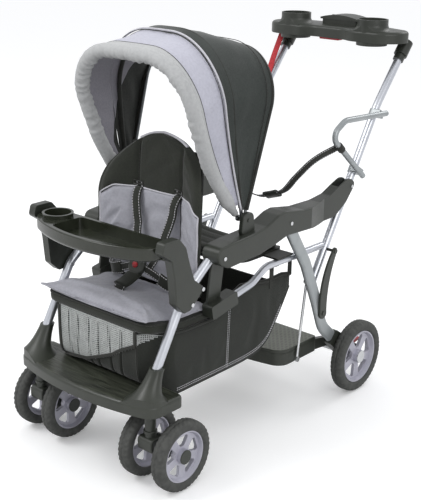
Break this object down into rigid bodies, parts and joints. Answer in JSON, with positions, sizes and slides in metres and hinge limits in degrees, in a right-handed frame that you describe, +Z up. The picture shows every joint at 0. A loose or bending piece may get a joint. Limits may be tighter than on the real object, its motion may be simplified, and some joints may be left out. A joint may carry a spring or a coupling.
{
  "type": "sit and stand stroller",
  "caption": "Sit and stand stroller with a hooded front seat and tray, rear bench, standing platform, storage basket, swivelling twin front wheels and a folding push handle.",
  "frame": {"origin": "on the ground below the centre of the stroller's overall length and width", "axes": "+X to the stroller's right as seen from the front, +Y to its rear where the handle is, +Z up"},
  "size_m": [0.54, 1.1228, 1.0603],
  "materials": {
    "silver_tube": "satin",
    "grey_tube": "satin",
    "bow_steel": "satin",
    "bolt_steel": "satin",
    "charcoal_plastic": "satin",
    "red_plastic": "gloss",
    "rim_plastic": "satin",
    "tyre_rubber": "matt",
    "seat_fabric": "woven",
    "light_fabric": "woven",
    "charcoal_fabric": "woven",
    "dark_mesh_fabric": "woven",
    "grey_net": "net",
    "black_webbing": "webbing",
    "red_webbing": "webbing",
    "black_board": "matt"
  },
  "bodies": {
    "frame": {"front_tubes": "silver_tube", "footrest": "charcoal_plastic", "side_moulding_left": "charcoal_plastic", "side_moulding_right": "charcoal_plastic", "tray_arms": "charcoal_plastic", "frame_bolts": "bolt_steel", "seat_rails": "silver_tube", "rail_brackets": "charcoal_plastic", "seat_board": "black_board", "seat_pad": "seat_fabric", "lap_harness": "black_webbing", "basket": "dark_mesh_fabric", "basket_net": "grey_net", "basket_straps": "black_webbing", "hood_brackets": "charcoal_plastic", "hood_back_bow": "bow_steel", "hood_back_panel": "charcoal_fabric"},
    "handle": {"handle_tube_left": "silver_tube", "handle_tube_right": "silver_tube", "console": "charcoal_plastic", "grab_bars": "grey_tube", "grab_clamps": "grey_tube", "rear_belt": "black_webbing", "fold_strap": "red_webbing"},
    "rear_legs": {"rear_leg_left": "grey_tube", "rear_leg_right": "grey_tube", "rear_axle": "bolt_steel", "hub_brackets": "charcoal_plastic"},
    "links": {"links": "charcoal_plastic"},
    "platform": {"platform": "charcoal_plastic"},
    "struts": {"platform_struts": "bolt_steel"},
    "console_lid": {"console_lid": "charcoal_plastic"},
    "fold_trigger": {"fold_trigger": "red_plastic"},
    "lock_button": {"lock_button": "red_plastic"},
    "hood_middle": {"hood_middle_bow": "bow_steel"},
    "hood_front": {"hood_front_bow": "bow_steel", "hood_front_panel": "light_fabric", "hood_roll": "light_fabric"},
    "backrest": {"backrest_board": "black_board", "backrest_pad": "seat_fabric", "shoulder_straps": "black_webbing"},
    "tray": {"tray": "charcoal_plastic"},
    "bench": {"bench_board": "black_board", "bench_pad": "charcoal_fabric"},
    "caster_left": {"caster_left": "charcoal_plastic"},
    "caster_right": {"caster_right": "charcoal_plastic"},
    "front_wheel_left_outer": {"front_tyre_left_outer": "tyre_rubber", "front_rim_left_outer": "rim_plastic"},
    "front_wheel_left_inner": {"front_tyre_left_inner": "tyre_rubber", "front_rim_left_inner": "rim_plastic"},
    "front_wheel_right_outer": {"front_tyre_right_outer": "tyre_rubber", "front_rim_right_outer": "rim_plastic"},
    "front_wheel_right_inner": {"front_tyre_right_inner": "tyre_rubber", "front_rim_right_inner": "rim_plastic"},
    "rear_wheel_left": {"rear_tyre_left": "tyre_rubber", "rear_rim_left": "rim_plastic"},
    "rear_wheel_right": {"rear_tyre_right": "tyre_rubber", "rear_rim_right": "rim_plastic"},
    "brake_left": {"brake_lever_left": "red_plastic"},
    "brake_right": {"brake_lever_right": "red_plastic"}
  },
  "joints": [
    {"name": "handle_fold", "type": "hinge", "parent": "frame", "child": "handle", "pos_m": [0, 0.28463, 0.605], "axis": [1, 0, 0], "range_deg": [0, 45]},
    {"name": "legs_fold", "type": "hinge", "parent": "frame", "child": "rear_legs", "pos_m": [0, -0.01637, 0.56899], "axis": [1, 0, 0], "range_deg": [0, 10.6]},
    {"name": "link_swing", "type": "hinge", "parent": "rear_legs", "child": "links", "pos_m": [0, 0.14637, 0.27497], "axis": [1, 0, 0], "range_deg": [-46, 0]},
    {"name": "platform_fold", "type": "hinge", "parent": "rear_legs", "child": "platform", "pos_m": [0, 0.29963, 0.1305], "axis": [1, 0, 0], "range_deg": [-5.8, 0]},
    {"name": "strut_swing", "type": "hinge", "parent": "platform", "child": "struts", "pos_m": [0, 0.10463, 0.136], "axis": [1, 0, 0], "range_deg": [-47.9, 0]},
    {"name": "lid_open", "type": "hinge", "parent": "handle", "child": "console_lid", "pos_m": [0, 0.55437, 1.02637], "axis": [-1, 0, 0], "range_deg": [0, 95]},
    {"name": "trigger_squeeze", "type": "slide", "parent": "handle", "child": "fold_trigger", "axis": [0, 0, 1], "range_m": [0, 0.006], "stiffness_N_per_m": 300, "springref_m": -0.004},
    {"name": "lock_press", "type": "slide", "parent": "handle", "child": "lock_button", "axis": [0, 0, -1], "range_m": [0, 0.003], "stiffness_N_per_m": 200, "springref_m": -0.003},
    {"name": "hood_middle_fold", "type": "hinge", "parent": "frame", "child": "hood_middle", "pos_m": [0, -0.16729, 0.60598], "axis": [-1, 0, 0], "range_deg": [0, 17], "deforming": ["hood_back_panel"]},
    {"name": "hood_front_fold", "type": "hinge", "parent": "frame", "child": "hood_front", "pos_m": [0, -0.16729, 0.60598], "axis": [-1, 0, 0], "range_deg": [0, 35], "deforming": ["hood_front_panel", "hood_roll"]},
    {"name": "seat_recline", "type": "hinge", "parent": "frame", "child": "backrest", "pos_m": [0, -0.23137, 0.392], "axis": [-1, 0, 0], "range_deg": [0, 25]},
    {"name": "tray_slide", "type": "slide", "parent": "frame", "child": "tray", "axis": [0, -1, 0], "range_m": [0, 0.06]},
    {"name": "bench_slide", "type": "slide", "parent": "frame", "child": "bench", "axis": [0, 1, 0], "range_m": [0, 0.07]},
    {"name": "caster_left_swivel", "type": "hinge", "parent": "frame", "child": "caster_left", "pos_m": [-0.1975, -0.49037, 0.206], "axis": [0, 0, 1], "continuous": true},
    {"name": "front_wheel_left_outer_roll", "type": "hinge", "parent": "caster_left", "child": "front_wheel_left_outer", "pos_m": [-0.2525, -0.44337, 0.09], "axis": [1, 0, 0], "continuous": true},
    {"name": "front_wheel_left_inner_roll", "type": "hinge", "parent": "caster_left", "child": "front_wheel_left_inner", "pos_m": [-0.1425, -0.44337, 0.09], "axis": [1, 0, 0], "continuous": true},
    {"name": "rear_wheel_left_roll", "type": "hinge", "parent": "rear_legs", "child": "rear_wheel_left", "pos_m": [-0.251, 0.29963, 0.1045], "axis": [1, 0, 0], "continuous": true},
    {"name": "brake_left_press", "type": "hinge", "parent": "rear_legs", "child": "brake_left", "pos_m": [-0.2, 0.32963, 0.1105], "axis": [-1, 0, 0], "range_deg": [0, 18]},
    {"name": "caster_right_swivel", "type": "hinge", "parent": "frame", "child": "caster_right", "pos_m": [0.1975, -0.49037, 0.206], "axis": [0, 0, 1], "continuous": true},
    {"name": "front_wheel_right_outer_roll", "type": "hinge", "parent": "caster_right", "child": "front_wheel_right_outer", "pos_m": [0.2525, -0.44337, 0.09], "axis": [1, 0, 0], "continuous": true},
    {"name": "front_wheel_right_inner_roll", "type": "hinge", "parent": "caster_right", "child": "front_wheel_right_inner", "pos_m": [0.1425, -0.44337, 0.09], "axis": [1, 0, 0], "continuous": true},
    {"name": "rear_wheel_right_roll", "type": "hinge", "parent": "rear_legs", "child": "rear_wheel_right", "pos_m": [0.251, 0.29963, 0.1045], "axis": [1, 0, 0], "continuous": true},
    {"name": "brake_right_press", "type": "hinge", "parent": "rear_legs", "child": "brake_right", "pos_m": [0.2, 0.32963, 0.1105], "axis": [-1, 0, 0], "range_deg": [0, 18]}
  ],
  "couplings": [
    {"joint": "legs_fold", "follows": "handle_fold", "ratio": 0.23356},
    {"joint": "link_swing", "follows": "handle_fold", "ratio": -1.0211},
    {"joint": "platform_fold", "follows": "handle_fold", "ratio": -0.12809},
    {"joint": "strut_swing", "follows": "handle_fold", "ratio": -1.0621},
    {"joint": "hood_middle_fold", "follows": "hood_front_fold", "ratio": 0.48571}
  ]
}
